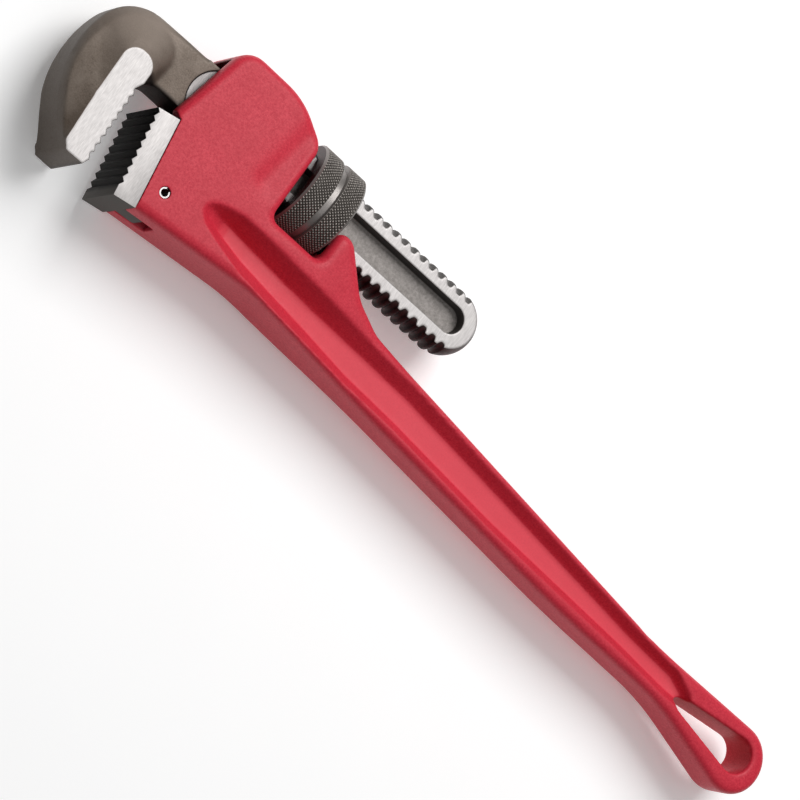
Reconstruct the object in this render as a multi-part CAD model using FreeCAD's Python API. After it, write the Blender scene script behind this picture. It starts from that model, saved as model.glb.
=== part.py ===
import FreeCAD, Part
import math
import os

# Pipe wrench, heavy straight pattern. Millimetres.
# Working frame: +X along the hook jaw's shank towards the jaws, +Y towards the heel jaw side,
# +Z out of the broad face. The shank's axis is the X axis and the nut's middle is at x = 0.
# Every finished piece is then moved so that the origin is the bottom centre of the whole tool.

ORIGIN = FreeCAD.Vector(-116.5, 30.5, -24.2)   # the finished origin, in the working frame

# Thickness across the broad faces
HEAD_HALF = 19.2            # half thickness of the housing and of both toothed faces
GRIP_HALF = 12.5            # half thickness of the handle
TAPER_START_X = 10.0        # where the housing starts to thin down into the handle
TAPER_END_X = -100.0
TAPER_BEND = 22.0           # how far beyond those two the straight sides would meet
TAPER_RADIUS = 400.0        # the bend from one straight side to the next
GRIP_END_X = -373.3
RIM_FILLET = 4.5            # rounding of the casting's rims
RIM_LEVEL = 11.0            # rim edges lie higher than this above the middle plane
BEND_WIDTH = 25.0           # an edge straight across the face and longer than this is only a bend
BEND_Y = 15.0               # and its middle is beyond this
MOUTH_LIP = (84.4, 17.5)    # the housing's corner under the heel jaw, where the shank comes out
MOUTH_EDGE_X = 76.5         # edges beyond this stay sharp

# Channel in each face of the grip, from its round start at the housing to the hanging hole:
# (x, floor height, top of the upper wall, floor's upper edge, floor's lower edge, top of the lower wall)
CHANNEL_TOP = 20.5
CHANNEL_STATIONS = (
    (46.5, 18.6, 40.9, 42.0, 45.0, 46.1),
    (42.0, 15.0, 37.1, 41.0, 46.0, 50.6),
    (36.0, 11.5, 35.3, 40.5, 46.0, 52.4),
    (28.0, 8.6, 33.6, 40.0, 46.5, 54.4),
    (14.0, 8.0, 33.6, 41.0, 49.0, 57.8),
    (-10.0, 8.0, 34.2, 42.5, 51.5, 61.0),
    (-31.0, 7.2, 33.4, 43.3, 53.2, 63.0),
    (-62.0, 6.3, 32.1, 43.8, 56.4, 66.4),
    (-96.0, 5.5, 31.3, 44.6, 57.6, 67.0),
    (-168.0, 5.5, 38.6, 50.6, 62.8, 72.2),
    (-266.0, 5.5, 48.5, 59.2, 66.0, 75.4),
    (-300.0, 6.0, 53.1, 60.7, 68.2, 77.6),
    (-314.0, 7.0, 58.3, 66.2, 68.2, 77.5),
)
HANG_NARROW = (-312.5, 69.3, 3.6)   # x, y and radius of the hanging hole's narrow end
HANG_WIDE = (-354.0, 70.4, 9.5)     # and of its wide end

# Shank and its thread
SHANK_R = 17.25             # crest radius of the thread, and half the shank's depth
SHANK_HALF = 10.0           # half the shank's thickness between its ground flats
SHANK_END_X = -107.0        # tip of its domed end
THREAD_PITCH = 6.35         # four threads to the inch
THREAD_DEPTH = 2.0
THREAD_START_X = -94.0      # middle of the first groove on the +Y edge
THREAD_TURNS = 20
GROOVE_ARC = 90.0           # degrees of turn that a groove needs to cross one edge of the shank
GROOVE_LAP = 1.0            # degrees by which two stretches of the nut's groove overlap
GROOVE_FLOOR = 2.3          # width of the groove's floor
FLANK_HEAD = 1.6            # run of the sloping flank, over the full depth
FLANK_END = 0.7             # run of the steep flank
THREAD_CLEARANCE = 0.35
POCKET_HALF = 7.2           # half width of the lightening pocket in the shank
POCKET_FLOOR = 3.0          # height of the pocket's floor above the middle plane
POCKET_X = (-96.6, 39.0)    # ends of the pocket, both round

# Adjusting nut
NUT_R = 24.2
NUT_HALF = 13.5
NUT_CHAMFER = 1.5
NUT_GROOVE_R = 22.0
NUT_GROOVE_HALF = 2.0

# Housing openings
WINDOW_X = (-15.0, 16.6)    # the nut's window, along the shank
WINDOW_FLOOR_Y = 25.6
TUNNEL_HALF = 11.0          # half thickness of the tunnel for the shank
TUNNEL_FLOOR_Y = 20.8
TUNNEL_ROOF_Y = -18.7
TUNNEL_END_X = 100.0        # past the mouth
TUNNEL_FLOOR_RISE = 0.6     # how much the floor widens the tunnel by there
TUNNEL_ROOF_RISE = 3.0      # and the roof
FORK_FLOOR_Y = 20.2         # floor of the open slot behind the nut
FORK_X = -75.0
FORK_TOP_Y = -45.0

# Heel jaw: its seat runs from the top corner in the direction given by its tilt
SEAT_TOP = (80.9, 20.8)
SEAT_TILT = 9.6             # degrees off the Y axis
HEEL_LENGTH = 46.6
HEEL_HEIGHT = 12.2          # seat to tooth crests
HEEL_TEETH = 9
TOOTH_PITCH = 4.6
TOOTH_DEPTH = 1.6
HEEL_FIRST_CREST = 0.4      # the first crest's distance from the block's top end
HEEL_CREST_SHARE = 0.6      # share of a pitch on the rising side of a tooth
HEEL_LAND_GAP = 0.6         # the last tooth is cut this much short of its pitch by the flat land
TONGUE_HALF = 5.9           # half thickness of the tongue between the cheeks
TONGUE_SLOT_START = (56.0, 27.0)
TONGUE_SLOT_END = (95.0, 85.0)
PIN_XY = (66.2, 51.8)
PIN_R = 2.6
PIN_BORE_R = 1.9
PIN_SLIT_HALF = 1.0
PIN_SLIT_ANGLE = -108.0     # which way the slit faces, turned about Z from +X
PIN_SINK = 0.6              # how far the pin's ends lie below the cheeks' faces

# Hook jaw head
HOOK_RIM_HALF = 10.4        # half thickness of the head's outer rim
HOOK_TEETH = 9
HOOK_TOOTH_TOP = (106.9, 24.6)
HOOK_TOOTH_END = (105.4, 66.0)
HOOK_TIP_Y = 67.8
HOOK_CREST_SHARE = 0.45     # share of a pitch on the rising side of a tooth

NECK_START_X = 60.0         # where the neck starts on the shank, inside the tunnel
SHANK_JOIN_X = 66.0         # the shank runs this far into the neck
GROUND_CENTRE = (68.7, 0.5)  # the neck is ground down to the shank's flats inside this round
GROUND_R = 16.0

# Springs
COIL_X = 48.5
COIL_R = 4.2
COIL_WIRE_R = 0.8
COIL_Y = (20.0, 35.0)
COIL_TURNS = 5
COIL_PLAY = 0.7             # between the coil and its hole
LEAF_HALF = 6.0
LEAF_BOTTOM_Y = 19.8        # inner face of the leaf spring where it lies on the tunnel's floor
LEAF_T = 1.0
RIVET_X = 24.0
RIVET_R = 1.6
RIVET_END_Y = 25.0
RIVET_HEAD_R = 2.7
RIVET_HEAD_T = 0.9
PRESS_GAP = 0.02            # radial play of a pin or a rivet in its hole

FIT_GAP = 0.12              # play between pieces that are fixed together
OVERCUT = 5.0               # how far a cutting solid runs past the surface it cuts
FAR = 200.0                 # beyond any part of the tool that a long cut has to clear
TOUCHING = 1e-6             # two points nearer than this are one


def vec(x, y, z=0.0):
    return FreeCAD.Vector(x, y, z)


def outline(*corners):
    """A closed wire through corners (x, y, radius); a radius of 0 keeps the corner sharp."""
    points = [vec(x, y) for x, y, radius in corners]
    stretches = []
    for index, (x, y, radius) in enumerate(corners):
        here = points[index]
        back = (points[index - 1] - here).normalize()
        ahead = (points[(index + 1) % len(points)] - here).normalize()
        if radius == 0:
            stretches.append((here, None, here))
            continue
        half_angle = back.getAngle(ahead) / 2
        reach = radius / math.tan(half_angle)
        bisector = (back + ahead).normalize()
        middle = here + bisector * (radius / math.sin(half_angle) - radius)
        stretches.append((here + back * reach, middle, here + ahead * reach))
    edges = []
    for index, (start, middle, end) in enumerate(stretches):
        following = stretches[(index + 1) % len(stretches)][0]
        if middle is not None:
            edges.append(Part.Arc(start, middle, end).toShape())
        if end.distanceToPoint(following) > TOUCHING:
            edges.append(Part.makeLine(end, following))
    return Part.Wire(edges)


def slab(wire, bottom, top):
    """The outline as a plate between two heights."""
    face = Part.Face(wire)
    face.translate(vec(0, 0, bottom))
    return face.extrude(vec(0, 0, top - bottom))


def box(x, y, z):
    return Part.makeBox(x[1] - x[0], y[1] - y[0], z[1] - z[0], vec(x[0], y[0], z[0]))


def cylinder_y(x, radius, y):
    """A round bar along Y at z = 0."""
    return Part.makeCylinder(radius, y[1] - y[0], vec(x, y[0], 0), vec(0, 1, 0))


def cylinder_z(x, y, radius, half):
    return Part.makeCylinder(radius, 2 * half, vec(x, y, -half))


def mirrored(shape):
    """The same shape on the other side of the middle plane."""
    return shape.mirror(vec(0, 0), vec(0, 0, 1))


def one_solid(shape):
    solids = shape.removeSplitter().Solids
    if len(solids) != 1:
        raise ValueError("expected one solid, got %d" % len(solids))
    return solids[0]


def seat_point(along, above):
    """A point on the heel jaw: along its seat from the top corner, and above the seat."""
    tilt = math.radians(SEAT_TILT)
    x = SEAT_TOP[0] - along * math.sin(tilt) + above * math.cos(tilt)
    y = SEAT_TOP[1] + along * math.cos(tilt) + above * math.sin(tilt)
    return x, y


# ---- handle: one casting of housing, grip and hanging loop ----

def handle_plan():
    """Outline seen on the broad face, from the heel jaw's seat round the grip and the nut's window."""
    window_back, window_front = WINDOW_X
    return outline(
        SEAT_TOP + (0,),
        seat_point(HEEL_LENGTH, 0) + (0,),
        (3.0, 59.7, 120),
        (-222.0, 75.2, 900),
        (-300.0, 76.6, 150),
        (GRIP_END_X, 94.9, 17.4),
        (GRIP_END_X, 53.6, 18.2),
        (-284.0, 54.0, 300),
        (-62.0, 31.9, 25),
        (-44.0, 24.8, 30),
        (-24.0, 6.2, 8),
        (window_back, 6.2, 5),
        (window_back, WINDOW_FLOOR_Y, 4),
        (window_front, WINDOW_FLOOR_Y, 4),
        (window_front, -17.0, 10),
        (38.0, -29.5, 40),
        (74.6, -29.8, 12),
        MOUTH_LIP + (0,),
    )


def thickness_profile():
    """A wide bar with the handle's side view: full at the housing, thin at the grip."""
    upper = [
        (TAPER_START_X + FAR, HEAD_HALF, 0),
        (TAPER_START_X - TAPER_BEND, HEAD_HALF, TAPER_RADIUS),
        (TAPER_END_X + TAPER_BEND, GRIP_HALF, TAPER_RADIUS),
        (GRIP_END_X - OVERCUT, GRIP_HALF, 0),
    ]
    lower = [(x, -z, radius) for x, z, radius in reversed(upper)]
    bar = slab(outline(*upper, *lower), -FAR, FAR)
    bar.rotate(vec(0, 0), vec(1, 0, 0), 90)
    return bar


def soft_edge(edge):
    """True for the casting's rounded rims: not the jaw seat, the mouth or the housing's first bend."""
    centre = edge.CenterOfMass
    bend = edge.BoundBox.XLength < FIT_GAP and edge.BoundBox.YLength > BEND_WIDTH and centre.y > BEND_Y
    return abs(centre.z) > RIM_LEVEL and centre.x < MOUTH_EDGE_X and not bend


def channel_section(x, floor, upper_top, upper, lower, lower_top):
    """One cross-section of the grip's channel: a flat floor between two walls that lean outwards."""
    corners = ((upper, floor), (lower, floor), (lower_top, CHANNEL_TOP), (upper_top, CHANNEL_TOP))
    return Part.makePolygon([vec(x, y, z) for y, z in corners + corners[:1]])


def channel():
    """The hollow along one face of the grip, from the housing to the hanging hole."""
    return Part.makeLoft([channel_section(*station) for station in CHANNEL_STATIONS], True, True)


def hang_hole():
    """A drop-shaped hole right through the end of the grip, narrow towards the jaws."""
    narrow, wide = vec(*HANG_NARROW[:2]), vec(*HANG_WIDE[:2])
    narrow_r, wide_r = HANG_NARROW[2], HANG_WIDE[2]
    apart = wide.distanceToPoint(narrow)
    along = (wide - narrow) / apart
    across = vec(-along.y, along.x)
    lean = math.asin((wide_r - narrow_r) / apart)
    left = across * math.cos(lean) - along * math.sin(lean)
    right = across * -math.cos(lean) - along * math.sin(lean)
    drop = Part.Wire([
        Part.Arc(narrow + left * narrow_r, narrow - along * narrow_r, narrow + right * narrow_r).toShape(),
        Part.makeLine(narrow + right * narrow_r, wide + right * wide_r),
        Part.Arc(wide + right * wide_r, wide + along * wide_r, wide + left * wide_r).toShape(),
        Part.makeLine(wide + left * wide_r, narrow + left * narrow_r),
    ])
    return slab(drop, -HEAD_HALF, HEAD_HALF)


def tunnel():
    """The way through the housing for the shank, wider at the mouth so that the jaw can rock."""
    plan = outline(
        (WINDOW_X[0], TUNNEL_ROOF_Y, 0),
        (TUNNEL_END_X, TUNNEL_ROOF_Y - TUNNEL_ROOF_RISE, 0),
        (TUNNEL_END_X, TUNNEL_FLOOR_Y + TUNNEL_FLOOR_RISE, 0),
        (WINDOW_X[0], TUNNEL_FLOOR_Y, 0),
    )
    return slab(plan, -TUNNEL_HALF, TUNNEL_HALF)


def tongue_slot():
    """The slot between the two cheeks that takes the heel jaw's tongue."""
    half = TONGUE_HALF + FIT_GAP
    start_x, start_y = TONGUE_SLOT_START
    end_x, end_y = TONGUE_SLOT_END
    plan = outline((start_x, end_y, 0), (start_x, start_y, 6), (end_x, start_y, 0), (end_x, end_y, 0))
    return slab(plan, -half, half)


def handle():
    body = slab(handle_plan(), -HEAD_HALF - OVERCUT, HEAD_HALF + OVERCUT).common(thickness_profile())
    body = body.makeFillet(RIM_FILLET, [edge for edge in body.Edges if soft_edge(edge)])
    upper_channel = channel()
    cuts = [
        upper_channel,
        mirrored(upper_channel),
        hang_hole(),
        tunnel(),
        box((FORK_X, WINDOW_X[0] + FIT_GAP), (FORK_TOP_Y, FORK_FLOOR_Y), (-TUNNEL_HALF, TUNNEL_HALF)),
        tongue_slot(),
        cylinder_z(*PIN_XY, PIN_R + PRESS_GAP, HEAD_HALF + OVERCUT),
        cylinder_y(COIL_X, COIL_R + COIL_WIRE_R + COIL_PLAY, (0.0, COIL_Y[1] + FIT_GAP)),
        cylinder_y(RIVET_X, RIVET_R + PRESS_GAP, (0.0, RIVET_END_Y + FIT_GAP)),
    ]
    for cut in cuts:
        body = body.cut(cut)
    return one_solid(body)


# ---- heel jaw and its pin ----

def tooth_row(start, along, pitch, depth, count, rise):
    """Corner points of a row of teeth, from a crest to the last valley.

    start is the first crest, along and depth are vectors, and rise is the rising share of a pitch.
    """
    points = []
    for index in range(count):
        crest = start + along * (pitch * index)
        valley = crest + along * (pitch * (1 - rise)) - depth
        points += [(crest.x, crest.y, 0), (valley.x, valley.y, 0)]
    return points


def heel_jaw():
    """A toothed block on the handle's seat, with a tongue pinned between the cheeks."""
    along = vec(*seat_point(1, 0)) - vec(*seat_point(0, 0))
    above = vec(*seat_point(0, 1)) - vec(*seat_point(0, 0))
    first_crest = vec(*seat_point(HEEL_FIRST_CREST, HEEL_HEIGHT))
    teeth = tooth_row(first_crest, along, TOOTH_PITCH, above * TOOTH_DEPTH, HEEL_TEETH, HEEL_CREST_SHARE)
    land_start = HEEL_FIRST_CREST + TOOTH_PITCH * HEEL_TEETH - HEEL_LAND_GAP
    block = outline(
        *teeth,
        seat_point(land_start, HEEL_HEIGHT) + (0,),
        seat_point(HEEL_LENGTH, HEEL_HEIGHT) + (0,),
        seat_point(HEEL_LENGTH, FIT_GAP) + (0,),
        seat_point(0, FIT_GAP) + (0,),
    )
    body = slab(block, -HEAD_HALF, HEAD_HALF)
    tongue = outline(
        seat_point(HEEL_LENGTH - 0.5, 2.0) + (0,),
        seat_point(8.0, 2.0) + (0,),
        (60.5, 30.5, 6),
        (60.5, 65.3, 4),
    )
    body = body.fuse(slab(tongue, -TONGUE_HALF, TONGUE_HALF))
    body = body.cut(cylinder_z(*PIN_XY, PIN_R + PRESS_GAP, HEAD_HALF))
    return one_solid(body)


def heel_jaw_pin():
    """A rolled spring pin: a tube with a slit along it."""
    half = HEAD_HALF - PIN_SINK
    pin = cylinder_z(*PIN_XY, PIN_R, half).cut(cylinder_z(*PIN_XY, PIN_BORE_R, HEAD_HALF))
    slit = box((0.0, PIN_R + OVERCUT), (-PIN_SLIT_HALF, PIN_SLIT_HALF), (-HEAD_HALF, HEAD_HALF))
    slit.rotate(vec(0, 0), vec(0, 0, 1), PIN_SLIT_ANGLE)
    slit.translate(vec(*PIN_XY))
    return one_solid(pin.cut(slit))


# ---- hook jaw ----

def helix_about_x(radius, turns, start_angle, start_x):
    """A right-hand helix of the thread's pitch about the X axis, starting at an angle from +Y."""
    wire = Part.makeHelix(THREAD_PITCH, THREAD_PITCH * turns, radius)
    wire.rotate(vec(0, 0), vec(0, 1, 0), 90)
    wire.rotate(vec(0, 0), vec(1, 0, 0), 90 + start_angle)
    wire.translate(vec(start_x, 0))
    return wire


def groove_sides(radius):
    """Where the two flanks of the shank's groove lie along X, at a radius, from its middle."""
    rise = (radius - SHANK_R + THREAD_DEPTH) / THREAD_DEPTH
    return -GROOVE_FLOOR / 2 - FLANK_END * rise, GROOVE_FLOOR / 2 + FLANK_HEAD * rise


def thread_solid(section, turns, start_angle, start_x):
    """A section of (x, radius) points swept along a helix about the X axis."""
    path = helix_about_x(section[0][1], turns, start_angle, start_x)
    ring = Part.makePolygon([vec(x, radius) for x, radius in section + section[:1]])
    ring.rotate(vec(0, 0), vec(1, 0, 0), start_angle)
    ring.translate(vec(start_x, 0))
    return path.makePipeShell([ring], True, True)


def shank():
    """A round bar with a domed end, ground flat on two sides, and a long pocket in each flat."""
    dome_x = SHANK_END_X + SHANK_R
    bar = Part.makeCylinder(SHANK_R, SHANK_JOIN_X - dome_x, vec(dome_x, 0), vec(1, 0, 0))
    bar = bar.fuse(Part.makeSphere(SHANK_R, vec(dome_x, 0), vec(1, 0, 0)))
    across = (-SHANK_R, SHANK_R)
    bar = bar.common(box((SHANK_END_X, SHANK_JOIN_X), across, (-SHANK_HALF, SHANK_HALF)))
    pocket_start, pocket_end = POCKET_X
    pocket = outline(
        (pocket_start, -POCKET_HALF, POCKET_HALF - PRESS_GAP),
        (pocket_end, -POCKET_HALF, POCKET_HALF - PRESS_GAP),
        (pocket_end, POCKET_HALF, POCKET_HALF - PRESS_GAP),
        (pocket_start, POCKET_HALF, POCKET_HALF - PRESS_GAP),
    )
    hollow = slab(pocket, POCKET_FLOOR, SHANK_HALF + OVERCUT)
    return bar.cut(hollow).cut(mirrored(hollow))


def shank_grooves():
    """The thread's groove where it crosses the shank's two edges: short helical cuts, two a turn."""
    root, clear = SHANK_R - THREAD_DEPTH, SHANK_R + THREAD_CLEARANCE
    root_end, root_head = groove_sides(root)
    clear_end, clear_head = groove_sides(clear)
    section = [(root_end, root), (root_head, root), (clear_head, clear), (clear_end, clear)]
    grooves = []
    for turn in range(THREAD_TURNS):
        for edge_angle in (0.0, 180.0):
            start_angle = edge_angle - GROOVE_ARC / 2
            start_x = THREAD_START_X + THREAD_PITCH * (turn + start_angle / 360)
            grooves.append(thread_solid(section, GROOVE_ARC / 360, start_angle, start_x))
    return grooves


def hook_plan():
    """Outline of the hook: neck, round back, flat tip, teeth and throat."""
    top, end = vec(*HOOK_TOOTH_TOP), vec(*HOOK_TOOTH_END)
    along = (end - top).normalize()
    into = vec(along.y, -along.x)
    teeth = tooth_row(top, along, TOOTH_PITCH, into * TOOTH_DEPTH, HOOK_TEETH, HOOK_CREST_SHARE)
    return outline(
        (NECK_START_X, 13.6, 0),
        (NECK_START_X, -14.2, 0),
        (130.8, -14.2, 24.2),
        (145.4, 32.2, 55),
        (115.4, HOOK_TIP_Y, 2),
        (end.x, HOOK_TIP_Y, 0),
        *reversed(teeth),
        (105.0, 20.5, 2),
        (99.0, 13.6, 8),
    )


def hook_swell():
    """The thickening of the head on one face, from the rim's edge up to the ground pad by the teeth."""
    rim_edge = outline((97.0, -10.0, 12), (129.0, -12.0, 20), (143.5, 31.0, 45), (117.5, 68.5, 1), (103.0, 68.5, 1))
    pad = outline((105.2, 7.9, 7.4), (121.2, 7.9, 7.4), (119.9, 38.0, 100), (118.1, 68.5, 1), (103.0, 68.5, 1))
    rim_edge.translate(vec(0, 0, HOOK_RIM_HALF - FIT_GAP))
    pad.translate(vec(0, 0, HEAD_HALF))
    return Part.makeLoft([rim_edge, pad], True, True)


def hook_jaw():
    """Hook, neck and threaded shank, one forging."""
    bar = shank().cut(Part.makeCompound(shank_grooves()))
    full = slab(hook_plan(), -HEAD_HALF, HEAD_HALF)
    rim = slab(hook_plan(), -HOOK_RIM_HALF, HOOK_RIM_HALF)
    swell = full.common(hook_swell())
    head = rim.fuse([swell, mirrored(swell)])
    ground = cylinder_z(*GROUND_CENTRE, GROUND_R, HEAD_HALF)
    ground = ground.cut(box((0.0, FAR), (-FAR, FAR), (-SHANK_HALF, SHANK_HALF)))
    return one_solid(bar.fuse(head.cut(ground)))


# ---- adjusting nut ----

def nut_grooves():
    """The nut's inside groove, half a turn at a time: it takes the shank's ridge, with play all round."""
    inner, outer = SHANK_R - THREAD_DEPTH, SHANK_R + THREAD_CLEARANCE
    inner_end, inner_head = groove_sides(inner)
    outer_end, outer_head = groove_sides(outer)
    section = [
        (inner_head - THREAD_CLEARANCE, inner),
        (inner_end + THREAD_PITCH + THREAD_CLEARANCE, inner),
        (outer_end + THREAD_PITCH + THREAD_CLEARANCE, outer),
        (outer_head - THREAD_CLEARANCE, outer),
    ]
    first_turn = math.floor((-NUT_HALF - THREAD_START_X) / THREAD_PITCH) - 1
    half_turns = 2 * math.ceil(2 * NUT_HALF / THREAD_PITCH + 2)
    grooves = []
    for half_turn in range(half_turns):
        start_angle = 180.0 * half_turn - GROOVE_LAP
        start_x = THREAD_START_X + THREAD_PITCH * (first_turn + start_angle / 360)
        grooves.append(thread_solid(section, (180.0 + 2 * GROOVE_LAP) / 360, start_angle, start_x))
    return grooves


def adjusting_nut():
    """A threaded ring with chamfered ends and a smooth groove between two gripping bands."""
    profile = outline(
        (-NUT_HALF, 0, 0),
        (-NUT_HALF, NUT_R - NUT_CHAMFER, 0),
        (-NUT_HALF + NUT_CHAMFER, NUT_R, 0),
        (-NUT_GROOVE_HALF, NUT_R, 0),
        (-NUT_GROOVE_HALF, NUT_GROOVE_R, 0),
        (NUT_GROOVE_HALF, NUT_GROOVE_R, 0),
        (NUT_GROOVE_HALF, NUT_R, 0),
        (NUT_HALF - NUT_CHAMFER, NUT_R, 0),
        (NUT_HALF, NUT_R - NUT_CHAMFER, 0),
        (NUT_HALF, 0, 0),
    )
    ring = Part.Face(profile).revolve(vec(0, 0), vec(1, 0, 0), 360)
    bore_r = SHANK_R - THREAD_DEPTH + THREAD_CLEARANCE
    ring = ring.cut(Part.makeCylinder(bore_r, 4 * NUT_HALF, vec(-2 * NUT_HALF, 0), vec(1, 0, 0)))
    for groove in nut_grooves():
        ring = ring.cut(groove)
    return one_solid(ring)


# ---- springs and their rivet ----

def coil_spring():
    """A compression spring that stands in the housing and pushes on the leaf spring."""
    start, end = COIL_Y[0] + COIL_WIRE_R, COIL_Y[1] - COIL_WIRE_R
    path = Part.makeHelix((end - start) / COIL_TURNS, end - start, COIL_R)
    wire = Part.Wire([Part.makeCircle(COIL_WIRE_R, vec(COIL_R, 0), vec(0, 1, 0))])
    spring = path.makePipeShell([wire], True, True)
    spring.rotate(vec(0, 0), vec(1, 0, 0), -90)
    spring.translate(vec(COIL_X, start))
    return one_solid(spring)


def flat_spring():
    """A bent strip: flat where it is riveted, then sloping down to bear on the shank."""
    top = LEAF_BOTTOM_Y + LEAF_T
    strip = outline(
        (19.0, LEAF_BOTTOM_Y, 0),
        (31.0, LEAF_BOTTOM_Y, 20),
        (56.0, 17.5, 6),
        (61.0, 18.7, 0),
        (60.8, 19.7, 0),
        (56.0, 18.5, 5),
        (31.0, top, 21),
        (19.0, top, 0),
    )
    leaf = slab(strip, -LEAF_HALF, LEAF_HALF)
    return one_solid(leaf.cut(cylinder_y(RIVET_X, RIVET_R + PRESS_GAP, (0.0, RIVET_END_Y))))


def spring_rivet():
    """A round pin in the housing with a thin head over the leaf spring."""
    head_top = LEAF_BOTTOM_Y - PRESS_GAP
    pin = cylinder_y(RIVET_X, RIVET_R, (head_top - RIVET_HEAD_T, RIVET_END_Y))
    return one_solid(pin.fuse(cylinder_y(RIVET_X, RIVET_HEAD_R, (head_top - RIVET_HEAD_T, head_top))))


PIECES = {
    "handle": handle,
    "heel_jaw": heel_jaw,
    "heel_jaw_pin": heel_jaw_pin,
    "hook_jaw": hook_jaw,
    "adjusting_nut": adjusting_nut,
    "coil_spring": coil_spring,
    "flat_spring": flat_spring,
    "spring_rivet": spring_rivet,
}

os.makedirs("parts", exist_ok=True)
for name, make in PIECES.items():
    piece = make()
    piece.translate(-ORIGIN)
    piece.exportStep("parts/%s.step" % name)
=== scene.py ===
import math

import bmesh
import bpy
import numpy as np
from mathutils import Matrix, Vector


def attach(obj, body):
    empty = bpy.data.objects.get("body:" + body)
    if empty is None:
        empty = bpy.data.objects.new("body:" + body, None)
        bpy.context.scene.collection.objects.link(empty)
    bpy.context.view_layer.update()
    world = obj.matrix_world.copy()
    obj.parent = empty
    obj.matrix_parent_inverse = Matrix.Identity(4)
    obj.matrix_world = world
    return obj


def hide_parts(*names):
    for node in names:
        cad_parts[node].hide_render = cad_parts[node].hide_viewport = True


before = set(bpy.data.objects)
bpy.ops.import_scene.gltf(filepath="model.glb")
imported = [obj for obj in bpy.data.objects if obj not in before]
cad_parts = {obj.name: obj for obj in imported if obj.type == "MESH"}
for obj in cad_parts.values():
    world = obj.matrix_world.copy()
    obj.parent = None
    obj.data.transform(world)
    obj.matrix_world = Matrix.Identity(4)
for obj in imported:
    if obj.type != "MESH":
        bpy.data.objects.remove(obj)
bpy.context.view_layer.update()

# Lengths in the tables below are millimetres from the nut's middle: x along the shank to the jaws,
# y towards the heel jaw's side, z out of the upper face.
MM = 0.001
NUT_MIDDLE = np.array((0.1165, -0.0305, 0.0242))

HEAD_HALF = 19.2            # half thickness of the housing and of the toothed faces
FLAT_HALF = 10.0            # half thickness of the shank
GROUND_CENTRE = (68.7, 0.5)
GROUND_R = 16.0
SEAT_TOP = (80.9, 20.8)
SEAT_TILT = math.radians(9.6)
PIN_XY = (66.2, 51.8)

HOOK_START_X = 84.0         # the hook is rounded past this x, and its shank is left as it is
TEETH_TOP_X = 111.0         # the hook's teeth lie below this x and past TEETH_START_Y
TEETH_START_Y = 21.5
HOOK_RIM = 10.4             # half thickness of the hook's rim in the CAD solid
RIM_SAMPLE = 1.0
PIN_R = 2.6
TUNNEL_HALF = 12.0          # the tunnel, with its corners, lies within these limits
TUNNEL_END_X = -14.0
TUNNEL_ROOF_Y = -22.0
TUNNEL_FLOOR_Y = 21.0

FINE_CAST_VOXEL = 0.7
FINE_FORGED_VOXEL = 0.5
CAST_VOXEL = FINE_CAST_VOXEL
FORGED_VOXEL = FINE_FORGED_VOXEL
CAST_ROUNDS = 13            # rounds of smoothing on the fine grids
FORGED_ROUNDS = 24
EDGE_ROUNDS = 12


# ---- meshes ----

def positions(mesh):
    """Vertices in millimetres from the nut's middle."""
    flat = np.empty(len(mesh.vertices) * 3, np.float32)
    mesh.vertices.foreach_get("co", flat)
    return (flat.reshape(-1, 3).astype(float) - NUT_MIDDLE) / MM


def set_positions(mesh, points):
    flat = (points * MM + NUT_MIDDLE).astype(np.float32).ravel()
    mesh.vertices.foreach_set("co", flat)
    mesh.update()


def normals(mesh):
    flat = np.empty(len(mesh.vertices) * 3, np.float32)
    mesh.vertex_normals.foreach_get("vector", flat)
    return flat.reshape(-1, 3).astype(float)


def edge_ends(mesh):
    flat = np.empty(len(mesh.edges) * 2, np.int64)
    mesh.edges.foreach_get("vertices", flat)
    ends = flat.reshape(-1, 2)
    return ends[:, 0], ends[:, 1]


def neighbour_mean(values, first, second, degree):
    count = len(values)
    total = [
        np.bincount(first, column[second], count) + np.bincount(second, column[first], count)
        for column in values.T
    ]
    return np.stack(total, 1) / degree[:, None]


def degrees_of(count, first, second):
    both = np.bincount(first, minlength=count) + np.bincount(second, minlength=count)
    return np.maximum(both, 1)


def relax(mesh, weight, rounds):
    """Smooths the surface, as a casting or a forging rounds its corners. Weight 0 keeps a point still."""
    points = positions(mesh)
    first, second = edge_ends(mesh)
    degree = degrees_of(len(points), first, second)
    share = (0.5 * weight)[:, None]
    for _ in range(rounds):
        points += (neighbour_mean(points, first, second, degree) - points) * share
    set_positions(mesh, points)


def rounds_for(fine_rounds, voxel, fine_voxel):
    """Fewer rounds on a coarser grid, for the same radius at the corners."""
    return int(fine_rounds * (fine_voxel / voxel) ** 2)


def mark_edges(mesh, rounds):
    """Stores how convex each place is, in the attribute edge: above 0 on a corner, below 0 in a hollow."""
    first, second = edge_ends(mesh)
    points = positions(mesh)
    degree = degrees_of(len(points), first, second)
    smooth = points.copy()
    for _ in range(rounds):
        smooth = neighbour_mean(smooth, first, second, degree)
    out = ((points - smooth) * normals(mesh)).sum(1)[:, None]
    for _ in range(2):
        out = neighbour_mean(out, first, second, degree)
    layer = mesh.attributes.new("edge", "FLOAT", "POINT")
    layer.data.foreach_set("value", out[:, 0].astype(np.float32))


def new_piece(name, mesh, body, slot, *nodes):
    piece = bpy.data.objects.new(name, mesh)
    bpy.context.scene.collection.objects.link(piece)
    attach(piece, body)
    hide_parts(*nodes)
    return piece


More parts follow.
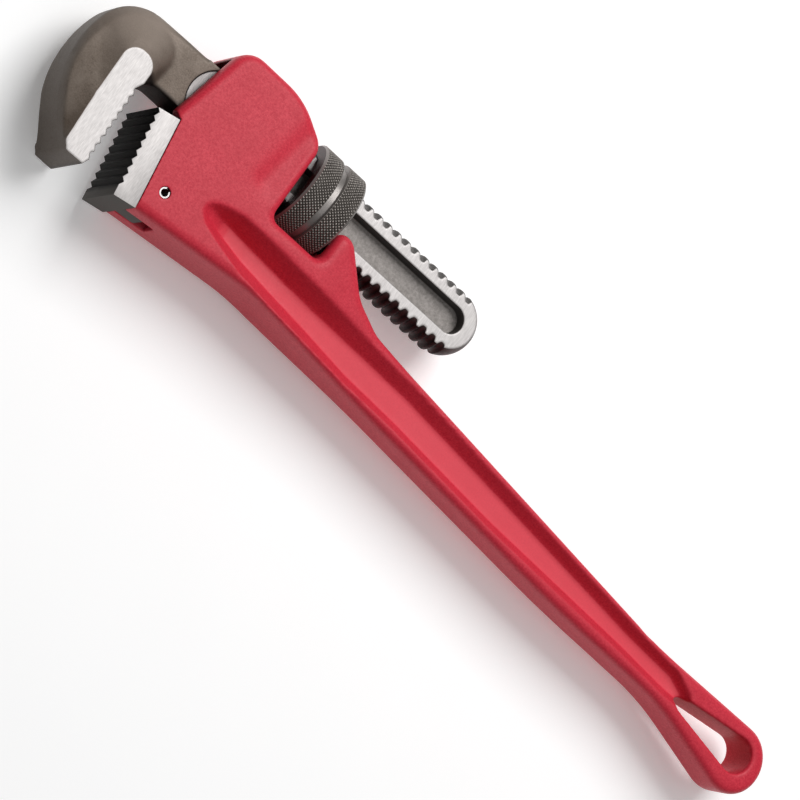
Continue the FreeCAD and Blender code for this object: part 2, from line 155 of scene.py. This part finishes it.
def node_mesh(node, name):
    """A copy of a CAD node's mesh with its corners welded and its stored normals dropped."""
    work = bmesh.new()
    work.from_mesh(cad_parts[node].data)
    bmesh.ops.remove_doubles(work, verts=work.verts, dist=1e-6)
    mesh = bpy.data.meshes.new(name)
    work.to_mesh(mesh)
    work.free()
    for layer in ("custom_normal", "sharp_edge"):
        if layer in mesh.attributes:
            mesh.attributes.remove(mesh.attributes[layer])
    mesh.materials.clear()
    return mesh


def remeshed(node, name, voxel):
    """The CAD node's shape as one even grid of small faces."""
    source = bpy.data.objects.new(name + "_source", node_mesh(node, name + "_source"))
    bpy.context.scene.collection.objects.link(source)
    grid = source.modifiers.new("grid", "REMESH")
    grid.mode = "VOXEL"
    grid.voxel_size = voxel * MM
    shape = source.evaluated_get(bpy.context.evaluated_depsgraph_get())
    mesh = bpy.data.meshes.new_from_object(shape)
    mesh.name = name
    bpy.data.objects.remove(source)
    mesh.materials.clear()
    mesh.shade_smooth()
    return mesh


def bump_along(points, start, end, width):
    """1 on the line from start to end, falling to 0 some widths away, and fading past its ends."""
    start, end = np.array(start), np.array(end)
    line = end - start
    share = np.clip((points[:, :2] - start) @ line / (line @ line), 0, 1)
    away = np.linalg.norm(points[:, :2] - (start + share[:, None] * line), axis=1)
    return np.exp(-(away / width) ** 2)


# ---- handle ----

def seat_distance(points):
    """How far a point is from the heel jaw's seat, on the handle's side."""
    x, y = points[:, 0] - SEAT_TOP[0], points[:, 1] - SEAT_TOP[1]
    return -(x * math.cos(SEAT_TILT) + y * math.sin(SEAT_TILT))


VALLEY = ((24.5, -19.0), (30.0, 14.0))      # a shallow dip in the housing's faces beside the window
VALLEY_DEPTH = 1.3
LIP = ((19.0, -14.0), (19.0, 22.0))         # the raised lip between the dip and the window
LIP_HEIGHT = 0.35


def make_handle():
    mesh = remeshed("handle", "handle_casting", CAST_VOXEL)
    points = positions(mesh)
    x, y, z = points.T
    seat = np.clip(seat_distance(points) / 3.0, 0.0, 1.0)
    pin = np.clip((np.hypot(x - PIN_XY[0], y - PIN_XY[1]) - 2.4) / 2.0, 0.15, 1.0)
    inside = np.where((np.abs(z) < TUNNEL_HALF) & (x > TUNNEL_END_X), 0.1, 1.0)
    weight = np.minimum(np.minimum(seat, pin), inside)
    relax(mesh, weight, rounds_for(CAST_ROUNDS, CAST_VOXEL, FINE_CAST_VOXEL))
    points = positions(mesh)
    x, y, z = points.T
    level = np.clip(np.abs(normals(mesh)[:, 2]) * 1.6 - 0.5, 0.0, 1.0)
    face = level * np.clip((np.abs(z) - 13.0) / 4.0, 0.0, 1.0)
    valley = VALLEY_DEPTH * bump_along(points, *VALLEY, 6.0)
    lip = LIP_HEIGHT * bump_along(points, *LIP, 3.0)
    points[:, 2] += np.sign(z) * face * (lip - valley)
    set_positions(mesh, points)
    mark_edges(mesh, EDGE_ROUNDS)
    return new_piece("handle_casting", mesh, "handle", "red_paint", "handle")


# ---- hook jaw ----

BATCH = 4000                # points measured against the rim's line at one time


def round_rim(points, out):
    """Rounds the hook's outer rim: its flat drops towards the back and, less, towards the neck's top."""
    x, y, z = points.T
    outward = (out[:, 0] > 0.25) | (out[:, 1] < -0.25)
    outer = (y < 0.0) | (x > 108.0)
    wall = (np.abs(z) < RIM_SAMPLE) & (x > HOOK_START_X) & outward & outer
    line = np.unique(np.round(points[wall, :2] / RIM_SAMPLE), axis=0) * RIM_SAMPLE
    near = np.where((np.abs(z) < HOOK_RIM + 0.3) & (x > HOOK_START_X))[0]
    away = np.empty(len(near))
    for start in range(0, len(near), BATCH):
        part = points[near[start:start + BATCH], None, :2] - line[None]
        away[start:start + BATCH] = np.sqrt((part ** 2).sum(2).min(1))
    radius = np.interp(x[near], (96.0, 122.0), (2.5, 5.5))
    radius *= np.interp(y[near], (50.0, 66.0), (1.0, 0.5))
    inner = np.clip(radius - away, 0.0, None)
    drop = radius - np.sqrt(np.clip(radius ** 2 - inner ** 2, 0.0, None))
    points[near, 2] *= 1.0 - 0.75 * drop / HOOK_RIM


RIM_GROWTH = 4.6            # what each face of the rim gains at the tip


def thicken_rim(points):
    """The hook's rim grows thicker from the neck round to the tip."""
    x, y, z = points.T
    growth = np.interp(y, (-8.0, 45.0), (0.0, RIM_GROWTH)) * np.clip((x - 100.0) / 12.0, 0.0, 1.0)
    high = np.abs(z)
    share = np.where(high < HOOK_RIM, high / HOOK_RIM, (HEAD_HALF - high) / (HEAD_HALF - HOOK_RIM))
    points[:, 2] += np.sign(z) * growth * np.clip(share, 0.0, 1.0)


def make_hook():
    mesh = remeshed("hook_jaw", "hook_forging", FORGED_VOXEL)
    points = positions(mesh)
    round_rim(points, normals(mesh))
    thicken_rim(points)
    x, y, z = points.T
    set_positions(mesh, points)
    teeth = (x < TEETH_TOP_X) & (y > TEETH_START_Y)
    pad = np.abs(z) > HEAD_HALF - 0.35
    weight = np.clip((x - HOOK_START_X) / 3.0, 0.0, 1.0)
    weight[teeth | pad] = 0.0
    relax(mesh, weight, rounds_for(FORGED_ROUNDS, FORGED_VOXEL, FINE_FORGED_VOXEL))
    points = positions(mesh)
    x, y, z = points.T
    inside = np.hypot(x - GROUND_CENTRE[0], y - GROUND_CENTRE[1]) < GROUND_R
    near = (np.abs(np.abs(z) - FLAT_HALF) < 0.7) & inside
    points[near, 2] = np.sign(z[near]) * FLAT_HALF
    set_positions(mesh, points)
    mark_edges(mesh, EDGE_ROUNDS)
    return new_piece("hook_forging", mesh, "hook", "forged_steel", "hook_jaw")


# ---- heel jaw ----

HEEL_BEVEL = 0.22


def make_heel():
    mesh = node_mesh("heel_jaw", "heel_block")
    work = bmesh.new()
    work.from_mesh(mesh)
    bmesh.ops.dissolve_limit(work, angle_limit=math.radians(1.0), verts=work.verts, edges=work.edges)
    corner = math.radians(28)
    sharp = [e for e in work.edges if len(e.link_faces) == 2 and e.calc_face_angle(0.0) > corner]
    bmesh.ops.bevel(
        work, geom=sharp, offset=HEEL_BEVEL * MM, segments=2, profile=0.6,
        affect="EDGES", clamp_overlap=True,
    )
    bmesh.ops.triangulate(work, faces=work.faces)
    work.to_mesh(mesh)
    work.free()
    for polygon in mesh.polygons:
        polygon.use_smooth = True
    mesh.set_sharp_from_angle(angle=math.radians(30))
    return new_piece("heel_block", mesh, "handle", "tool_steel", "heel_jaw")


# ---- adjusting nut ----

NUT_R = 24.2
NUT_HALF = 13.5
NUT_CHAMFER = 1.1
NUT_GROOVE_R = 22.0
NUT_GROOVE_HALF = 2.0
KNURL_AROUND = 78           # diamonds in one turn
KNURL_PITCH = 1.95          # along the nut's axis
KNURL_DEPTH = 0.58
THREAD_PITCH = 6.35
THREAD_ROOT_R = 15.25
THREAD_CREST_R = 17.25
THREAD_PLAY = 0.35
THREAD_START_X = -94.0
THREAD_LAND = 1.15          # half width of the land between two turns of the nut's groove


def knurl(angle, x):
    """Depth of the diamond pattern below its crests: two crossing sets of grooves."""
    around = angle / math.tau * KNURL_AROUND
    along = x / KNURL_PITCH
    one = np.abs((around + along) % 1.0 - 0.5) * 2
    other = np.abs((around - along) % 1.0 - 0.5) * 2
    crest = np.minimum(1.0 - one, 1.0 - other)
    return KNURL_DEPTH * (1.0 - np.clip(crest * 1.5, 0.0, 1.0))


def nut_outside(angle, x):
    radius = np.full_like(angle, NUT_R)
    across = abs(x)
    if across <= NUT_GROOVE_HALF:
        edge = np.clip((NUT_GROOVE_HALF - across) / 0.35, 0.0, 1.0)
        return radius - (NUT_R - NUT_GROOVE_R) * edge ** 0.5
    if across > NUT_HALF - NUT_CHAMFER:
        return radius - (across - NUT_HALF + NUT_CHAMFER) - 0.25
    fade = np.clip(min(across - NUT_GROOVE_HALF, NUT_HALF - NUT_CHAMFER - across) / 0.4, 0.0, 1.0)
    return radius - 0.1 - knurl(angle, x) * fade


def nut_inside(angle, x):
    """Bore radius: the groove that takes the shank's thread, with play."""
    phase = (x - THREAD_START_X - THREAD_PITCH * angle / math.tau) % THREAD_PITCH
    outer, inner = THREAD_CREST_R + THREAD_PLAY, THREAD_ROOT_R + THREAD_PLAY
    climb = np.clip((phase - THREAD_LAND + THREAD_PLAY) / 1.6, 0.0, 1.0)
    fall = np.clip((THREAD_PITCH - THREAD_LAND - phase + THREAD_PLAY) / 0.7, 0.0, 1.0)
    return inner + (outer - inner) * np.minimum(climb, fall)


def make_nut():
    """One closed skin: outside with its knurl, end faces, and the threaded bore."""
    around = 702
    step = 0.22
    angle = np.arange(around) * math.tau / around
    outside = np.linspace(-NUT_HALF, NUT_HALF, int(2 * NUT_HALF / step) + 1)
    inside = np.linspace(NUT_HALF, -NUT_HALF, 70)
    rings = [(x, nut_outside(angle, x)) for x in outside] + [(x, nut_inside(angle, x)) for x in inside]
    points = np.concatenate([
        np.stack([np.full(around, x), radius * np.cos(angle), radius * np.sin(angle)], 1)
        for x, radius in rings
    ])
    count = len(rings)
    ring, spoke = np.meshgrid(np.arange(count), np.arange(around), indexing="ij")
    following, beside = (ring + 1) % count, (spoke + 1) % around
    faces = np.stack([
        ring * around + spoke, ring * around + beside,
        following * around + beside, following * around + spoke,
    ], -1).reshape(-1, 4)
    mesh = bpy.data.meshes.new("nut_knurled")
    mesh.from_pydata((points * MM + NUT_MIDDLE).tolist(), [], faces.tolist())
    mesh.validate()
    mesh.shade_smooth()
    mesh.set_sharp_from_angle(angle=math.radians(38))
    return new_piece("nut_knurled", mesh, "nut", "nut_steel", "adjusting_nut")


# ---- materials ----

class Paint:
    """A node material: one Principled shader, and short ways to feed it.

    Its x, y and z are millimetres from the nut's middle, so each mark stays at its place on the piece.
    """

    def __init__(self, name, **sockets):
        self.material = bpy.data.materials.new(name)
        self.material.use_nodes = True
        self.tree = self.material.node_tree
        self.shader = self.tree.nodes["Principled BSDF"]
        for socket, value in sockets.items():
            self.shader.inputs[socket.replace("_", " ")].default_value = value
        place = self.tree.nodes.new("ShaderNodeTexCoord").outputs["Object"]
        moved = self.vector("SUBTRACT", place, tuple(NUT_MIDDLE))
        self.mm = self.vector("MULTIPLY", moved, (1 / MM, 1 / MM, 1 / MM))
        parts = self.add("ShaderNodeSeparateXYZ", Vector=self.mm)
        self.x, self.y, self.z = parts.outputs

    def add(self, kind, **inputs):
        node = self.tree.nodes.new(kind)
        for name, value in inputs.items():
            self.feed(node.inputs[name.replace("_", " ")], value)
        return node

    def feed(self, socket, value):
        if isinstance(value, bpy.types.NodeSocket):
            self.tree.links.new(value, socket)
        else:
            socket.default_value = value

    def vector(self, operation, one, other):
        node = self.tree.nodes.new("ShaderNodeVectorMath")
        node.operation = operation
        self.feed(node.inputs[0], one)
        self.feed(node.inputs[1], other)
        return node.outputs[0]

    def math(self, operation, *values):
        node = self.tree.nodes.new("ShaderNodeMath")
        node.operation = operation
        for socket, value in zip(node.inputs, values):
            self.feed(socket, value)
        return node.outputs[0]

    def ramp(self, value, low, high, to_low=0.0, to_high=1.0):
        node = self.add("ShaderNodeMapRange", Value=value)
        for socket, number in zip(node.inputs[1:5], (low, high, to_low, to_high)):
            socket.default_value = number
        return node.outputs[0]

    def noise(self, size, detail=3.0, stretch=(1, 1, 1), rough=0.55):
        """Noise whose features are about that many millimetres across."""
        scaled = self.vector("MULTIPLY", self.mm, tuple(1 / (size * s) for s in stretch))
        node = self.add("ShaderNodeTexNoise", Vector=scaled, Scale=1.0, Detail=detail, Roughness=rough)
        return node.outputs["Fac"]

    def mix(self, share, one, other):
        node = self.tree.nodes.new("ShaderNodeMix")
        node.data_type = "RGBA"
        self.feed(node.inputs["Factor"], share)
        self.feed(node.inputs[6], one)
        self.feed(node.inputs[7], other)
        return node.outputs[2]

    def blend(self, share, one, other):
        """A number between two numbers."""
        node = self.tree.nodes.new("ShaderNodeMix")
        node.data_type = "FLOAT"
        self.feed(node.inputs[0], share)
        self.feed(node.inputs[2], one)
        self.feed(node.inputs[3], other)
        return node.outputs[0]

    def colour(self, value):
        self.feed(self.shader.inputs["Base Color"], value)

    def bump(self, height, depth):
        """Depth in millimetres."""
        node = self.add("ShaderNodeBump", Height=height, Distance=depth * MM, Strength=1.0)
        self.feed(self.shader.inputs["Normal"], node.outputs[0])

    def set(self, socket, value):
        self.feed(self.shader.inputs[socket], value)

    def attribute(self, name):
        node = self.tree.nodes.new("ShaderNodeAttribute")
        node.attribute_name = name
        return node.outputs["Fac"]

    def above(self, value, limit, soft):
        return self.ramp(value, limit - soft, limit + soft)

    def level(self):
        """How level the surface lies: 1 where it faces straight up or down."""
        normal = self.tree.nodes.new("ShaderNodeTexCoord").outputs["Normal"]
        parts = self.add("ShaderNodeSeparateXYZ", Vector=normal)
        return self.math("ABSOLUTE", parts.outputs[2])

    def reach(self, centre):
        """Distance from the upright line through a place in the plan."""
        side = self.math("SUBTRACT", self.x, centre[0])
        over = self.math("SUBTRACT", self.y, centre[1])
        squares = self.math("ADD", self.math("MULTIPLY", side, side), self.math("MULTIPLY", over, over))
        return self.math("SQRT", squares)


def rgb(*values):
    return tuple(values) + (1.0,)


def red_enamel():
    paint = Paint("red_enamel", Specular_IOR_Level=0.22)
    grain = paint.noise(1.1, 3.0, rough=0.8)
    patches = paint.noise(14.0, 3.0)
    edge = paint.attribute("edge")
    tone = paint.mix(paint.ramp(grain, 0.35, 0.65), rgb(0.52, 0.017, 0.040), rgb(0.69, 0.043, 0.070))
    tone = paint.mix(paint.ramp(patches, 0.35, 0.7, 0.0, 0.35), tone, rgb(0.50, 0.019, 0.036))
    side = paint.math("MULTIPLY", paint.math("SUBTRACT", paint.x, SEAT_TOP[0]), -math.cos(SEAT_TILT))
    over = paint.math("MULTIPLY", paint.math("SUBTRACT", paint.y, SEAT_TOP[1]), math.sin(SEAT_TILT))
    seam = paint.ramp(paint.math("SUBTRACT", side, over), 0.55, 0.25)
    seam = paint.math("MULTIPLY", seam, paint.above(paint.y, SEAT_TOP[1] - 1.0, 0.2))
    high = paint.math("ABSOLUTE", paint.z)
    # Painted light: level faces below 10 mm, the channel floors, are lightened as if fully lit, in spite
    # of the shade from the channel walls.
    floor = paint.math("MULTIPLY", paint.above(paint.level(), 0.88, 0.06), paint.ramp(high, 10.5, 9.5))
    tone = paint.mix(paint.math("MULTIPLY", floor, 0.6), tone, rgb(0.80, 0.085, 0.115))
    tone = paint.mix(seam, tone, rgb(0.035, 0.006, 0.007))
    shade = paint.ramp(high, TUNNEL_HALF, TUNNEL_HALF - 1.2)
    shade = paint.math("MULTIPLY", shade, paint.above(paint.x, TUNNEL_END_X, 1.0))
    shade = paint.math("MULTIPLY", shade, paint.ramp(paint.y, TUNNEL_FLOOR_Y + 0.5, TUNNEL_FLOOR_Y - 0.5))
    shade = paint.math("MULTIPLY", shade, paint.above(paint.y, TUNNEL_ROOF_Y, 0.5))
    tone = paint.mix(paint.math("MULTIPLY", shade, 0.92), tone, rgb(0.030, 0.006, 0.006))
    # Painted shadow: a dark ring on the paint round the pin, standing in for the shade in the gap beside
    # it.
    pin_gap_shade = paint.ramp(paint.reach(PIN_XY), PIN_R + 0.5, PIN_R + 0.2)
    tone = paint.mix(pin_gap_shade, tone, rgb(0.06, 0.008, 0.010))
    # Painted highlight: convex edges are given a lighter red.
    tone = paint.mix(paint.ramp(edge, 0.1, 0.6, 0.0, 0.25), tone, rgb(0.70, 0.06, 0.08))
    paint.colour(tone)
    paint.set("Roughness", paint.ramp(grain, 0.3, 0.7, 0.46, 0.36))
    height = paint.math("ADD", paint.math("MULTIPLY", grain, 0.7), paint.math("MULTIPLY", patches, 1.5))
    paint.bump(height, 0.10)
    return paint.material


def brushed(paint):
    """Fine grinding marks along y, as a share from 0 to 1."""
    return paint.noise(0.35, 3.0, stretch=(1, 12, 1), rough=0.6)


def ground_shine(paint, marks):
    """The bright colour of a ground face, streaked by its grinding marks."""
    return paint.mix(paint.ramp(marks, 0.3, 0.7), rgb(0.405, 0.385, 0.378), rgb(0.545, 0.520, 0.510))


def forged_steel():
    paint = Paint("forged_steel", Specular_IOR_Level=0.4)
    high = paint.math("ABSOLUTE", paint.z)
    grain = paint.noise(0.8, 4.0, rough=0.7)
    patches = paint.noise(9.0, 4.0)
    edge = paint.attribute("edge")
    # The forged scale's own colour; painted light and shade are mixed into it below.
    scale_and_shading = paint.mix(paint.ramp(grain, 0.3, 0.7), rgb(0.085, 0.062, 0.046), rgb(0.155, 0.120, 0.094))
    scale_and_shading = paint.mix(paint.ramp(patches, 0.4, 0.7, 0.0, 0.6), scale_and_shading, rgb(0.190, 0.154, 0.126))
    # Painted light: past x 104 the hook is lighter towards its top rim at low y, as if lit from that side.
    painted_light = paint.ramp(paint.y, 26.0, -8.0, 0.0, 0.75)
    painted_light = paint.math("MULTIPLY", painted_light, paint.above(paint.x, 104.0, 9.0))
    scale_and_shading = paint.mix(painted_light, scale_and_shading, rgb(0.30, 0.245, 0.205))
    # Painted shade: steep faces past x 96 are darkened.
    steep_shade = paint.ramp(paint.level(), 0.8, 0.3, 0.0, 0.75)
    steep_shade = paint.math("MULTIPLY", steep_shade, paint.above(paint.x, 96.0, 6.0))
    scale_and_shading = paint.mix(steep_shade, scale_and_shading, rgb(0.062, 0.044, 0.031))
    # Painted shade in hollows and painted highlight on convex edges, read from the attribute edge.
    scale_and_shading = paint.mix(paint.ramp(edge, -0.02, -0.5, 0.0, 0.7), scale_and_shading, rgb(0.030, 0.024, 0.020))
    scale_and_shading = paint.mix(paint.ramp(edge, 0.08, 0.6, 0.0, 0.5), scale_and_shading, rgb(0.30, 0.265, 0.235))
    pad = paint.above(high, HEAD_HALF - 0.12, 0.05)
    level = paint.math("ABSOLUTE", paint.math("SUBTRACT", high, FLAT_HALF))
    level = paint.ramp(level, 0.30, 0.12)
    reach = paint.reach(GROUND_CENTRE)
    round_part = paint.ramp(reach, GROUND_R - 0.15, GROUND_R - 0.3)
    behind = paint.ramp(paint.x, GROUND_CENTRE[0] + 0.5, GROUND_CENTRE[0] - 0.5)
    flat = paint.math("MULTIPLY", level, paint.math("MAXIMUM", round_part, behind))
    ground = paint.math("MAXIMUM", pad, flat)
    marks = brushed(paint)
    shine = ground_shine(paint, marks)
    # Painted shade: the ground flats past x 48 are given a darker colour, for the housing's shade over
    # them.
    ground_in_shade = paint.mix(paint.ramp(marks, 0.3, 0.7), rgb(0.24, 0.228, 0.222), rgb(0.33, 0.315, 0.31))
    shine = paint.mix(paint.math("MULTIPLY", flat, paint.above(paint.x, 48.0, 3.0)), shine, ground_in_shade)
    # Painted shadow: the ground faces from x 15 to 51, which lie in the housing's window at rest, are made
    # near black.
    window = paint.ramp(paint.x, 51.0, 49.0)
    window = paint.math("MULTIPLY", paint.above(paint.x, 15.0, 1.0), window)
    shine = paint.mix(paint.math("MULTIPLY", window, 0.93), shine, rgb(0.012, 0.010, 0.009))
    ring = paint.ramp(paint.math("ABSOLUTE", paint.math("SUBTRACT", reach, GROUND_R)), 0.55, 0.25)
    ring = paint.math("MULTIPLY", ring, paint.above(paint.x, GROUND_CENTRE[0], 0.5))
    shank = paint.ramp(paint.x, 66.0, 60.0)
    machined = paint.mix(grain, rgb(0.055, 0.048, 0.044), rgb(0.115, 0.105, 0.098))
    floor = paint.ramp(paint.math("ABSOLUTE", paint.math("SUBTRACT", high, 3.0)), 0.5, 0.2)
    coarse = paint.ramp(paint.noise(1.7, 3.0, rough=0.8), 0.35, 0.65)
    floor_tone = paint.mix(coarse, rgb(0.185, 0.168, 0.155), rgb(0.29, 0.265, 0.25))
    machined = paint.mix(floor, machined, floor_tone)
    base = paint.mix(shank, scale_and_shading, machined)
    # Painted shade: the throat, short of x 106 and past y 13, is made near black.
    throat_shade = paint.math("MULTIPLY", paint.ramp(paint.x, 108.0, 104.0), paint.above(paint.y, 13.0, 1.5))
    base = paint.mix(throat_shade, base, rgb(0.012, 0.010, 0.009))
    base = paint.mix(ring, base, rgb(0.015, 0.012, 0.010))
    paint.colour(paint.mix(ground, base, shine))
    paint.set("Metallic", paint.blend(ground, 0.35, 0.5))
    scaly = paint.ramp(grain, 0.3, 0.7, 0.58, 0.46)
    paint.set("Roughness", paint.blend(ground, scaly, paint.ramp(marks, 0.2, 0.8, 0.52, 0.44)))
    patch_height = paint.math("MULTIPLY", patches, 1.6)
    rough_height = paint.math("ADD", paint.math("MULTIPLY", grain, 0.6), patch_height)
    height = paint.blend(ground, rough_height, paint.math("MULTIPLY", marks, 0.12))
    paint.bump(height, 0.10)
    return paint.material


def jaw_steel():
    paint = Paint("jaw_steel", Specular_IOR_Level=0.15)
    high = paint.math("ABSOLUTE", paint.z)
    face = paint.above(high, HEAD_HALF - 0.12, 0.06)
    grain = paint.noise(0.6, 4.0, rough=0.7)
    marks = brushed(paint)
    dark = paint.mix(grain, rgb(0.006, 0.005, 0.004), rgb(0.016, 0.013, 0.012))
    base_end = paint.ramp(paint.y, 63.0, 65.5)
    dark = paint.mix(base_end, dark, paint.mix(grain, rgb(0.07, 0.062, 0.057), rgb(0.12, 0.11, 0.10)))
    shine = ground_shine(paint, marks)
    paint.colour(paint.mix(face, dark, shine))
    paint.set("Metallic", paint.blend(face, 0.1, 0.5))
    paint.set("Roughness", paint.blend(face, 0.62, paint.ramp(marks, 0.2, 0.8, 0.52, 0.44)))
    paint.bump(paint.blend(face, grain, paint.math("MULTIPLY", marks, 0.3)), 0.04)
    return paint.material


def knurled_steel():
    paint = Paint("knurled_steel", Metallic=0.6, Specular_IOR_Level=0.4)
    grain = paint.noise(0.5, 3.0, rough=0.7)
    squares = [paint.math("MULTIPLY", side, side) for side in (paint.y, paint.z)]
    radius = paint.math("SQRT", paint.math("ADD", *squares))
    along = paint.math("ABSOLUTE", paint.x)
    tip = paint.ramp(radius, NUT_R - 0.55, NUT_R - 0.12)
    knurl_end = NUT_HALF - NUT_CHAMFER
    band = paint.ramp(along, knurl_end + 0.05, knurl_end - 0.05)
    band = paint.math("MULTIPLY", paint.above(along, NUT_GROOVE_HALF, 0.05), band)
    plain = paint.mix(grain, rgb(0.22, 0.20, 0.19), rgb(0.30, 0.28, 0.265))
    teeth = paint.mix(tip, rgb(0.045, 0.038, 0.033), rgb(0.34, 0.310, 0.285))
    tone = paint.mix(band, plain, teeth)
    # Painted shade: the bore and both end faces are made near black.
    bore_shade = paint.ramp(radius, 20.0, 18.0)
    end = paint.above(along, NUT_HALF - 0.12, 0.06)
    paint.colour(paint.mix(paint.math("MAXIMUM", bore_shade, end), tone, rgb(0.022, 0.018, 0.016)))
    paint.set("Roughness", paint.blend(band, paint.ramp(grain, 0.3, 0.7, 0.40, 0.32), 0.42))
    paint.bump(grain, 0.03)
    return paint.material


def bright_steel(name, low, high, roughness):
    paint = Paint(name, Metallic=1.0)
    grain = paint.noise(0.5, 3.0, rough=0.6)
    paint.colour(paint.mix(grain, rgb(*low), rgb(*high)))
    paint.set("Roughness", paint.ramp(grain, 0.3, 0.7, roughness + 0.06, roughness - 0.04))
    paint.bump(grain, 0.02)
    return paint.material


def dress(obj, material):
    obj.data.materials.clear()
    obj.data.materials.append(material)


# ---- stage ----

def make_floor():
    side = 3.0
    work = bmesh.new()
    bmesh.ops.create_grid(work, x_segments=8, y_segments=8, size=side)
    mesh = bpy.data.meshes.new("floor")
    work.to_mesh(mesh)
    work.free()
    floor = bpy.data.objects.new("floor", mesh)
    bpy.context.scene.collection.objects.link(floor)
    paint = Paint("floor", Specular_IOR_Level=0.2, Roughness=0.8, Emission_Strength=0.2)
    paint.set("Emission Color", rgb(1.0, 1.0, 1.0))
    cloud = paint.noise(120.0, 2.0)
    paint.colour(paint.mix(cloud, rgb(0.93, 0.93, 0.93), rgb(0.96, 0.96, 0.96)))
    dress(floor, paint.material)


def softbox(name, toward, distance, size, power, target):
    light = bpy.data.lights.new(name, "AREA")
    light.shape = "RECTANGLE"
    light.size, light.size_y = size
    light.energy = power
    lamp = bpy.data.objects.new(name, light)
    direction = Vector(toward).normalized()
    lamp.location = Vector(target) + direction * distance
    lamp.rotation_euler = direction.to_track_quat("Z", "Y").to_euler()
    bpy.context.scene.collection.objects.link(lamp)


def make_lights():
    middle = (0.0, 0.0, 0.02)
    softbox("key", (-0.02, -0.56, 0.86), 1.7, (1.1, 1.1), 24.0, middle)
    softbox("top", (-0.20, 0.05, 1.0), 1.9, (1.6, 1.6), 7.0, middle)
    world = bpy.data.worlds.new("studio")
    world.use_nodes = True
    sky = world.node_tree.nodes["Background"]
    sky.inputs["Color"].default_value = rgb(1.0, 1.0, 1.0)
    sky.inputs["Strength"].default_value = 0.14
    bpy.context.scene.world = world


def make_camera():
    place = Vector((0.5716, 0.4485, 1.3435))
    target = Vector((0.0207, 0.0142, 0.0242))
    back = (place - target).normalized()
    right = Vector((-0.6934, -0.5466, 0.4695))      # the picture's right-hand side
    right = (right - back * right.dot(back)).normalized()
    up = back.cross(right)
    turn = Matrix((right, up, back)).transposed().to_4x4()
    lens = bpy.data.cameras.new("camera")
    lens.lens = 139.5
    lens.sensor_width = 36.0
    camera = bpy.data.objects.new("camera", lens)
    camera.matrix_world = Matrix.Translation(place) @ turn
    bpy.context.scene.collection.objects.link(camera)
    bpy.context.scene.camera = camera


# ---- the scene ----

dress(make_handle(), red_enamel())
dress(make_hook(), forged_steel())
dress(make_heel(), jaw_steel())
dress(make_nut(), knurled_steel())
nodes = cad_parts
dress(nodes["heel_jaw_pin"], bright_steel("pin_steel", (0.34, 0.325, 0.32), (0.48, 0.46, 0.455), 0.42))
spring_material = bright_steel("spring_steel", (0.22, 0.22, 0.23), (0.34, 0.34, 0.36), 0.36)
dress(nodes["coil_spring"], spring_material)
dress(nodes["flat_spring"], spring_material)
dress(nodes["spring_rivet"], bright_steel("rivet_steel", (0.45, 0.45, 0.46), (0.58, 0.58, 0.60), 0.36))
make_floor()
make_lights()
make_camera()
bpy.context.scene.view_settings.view_transform = "Standard"
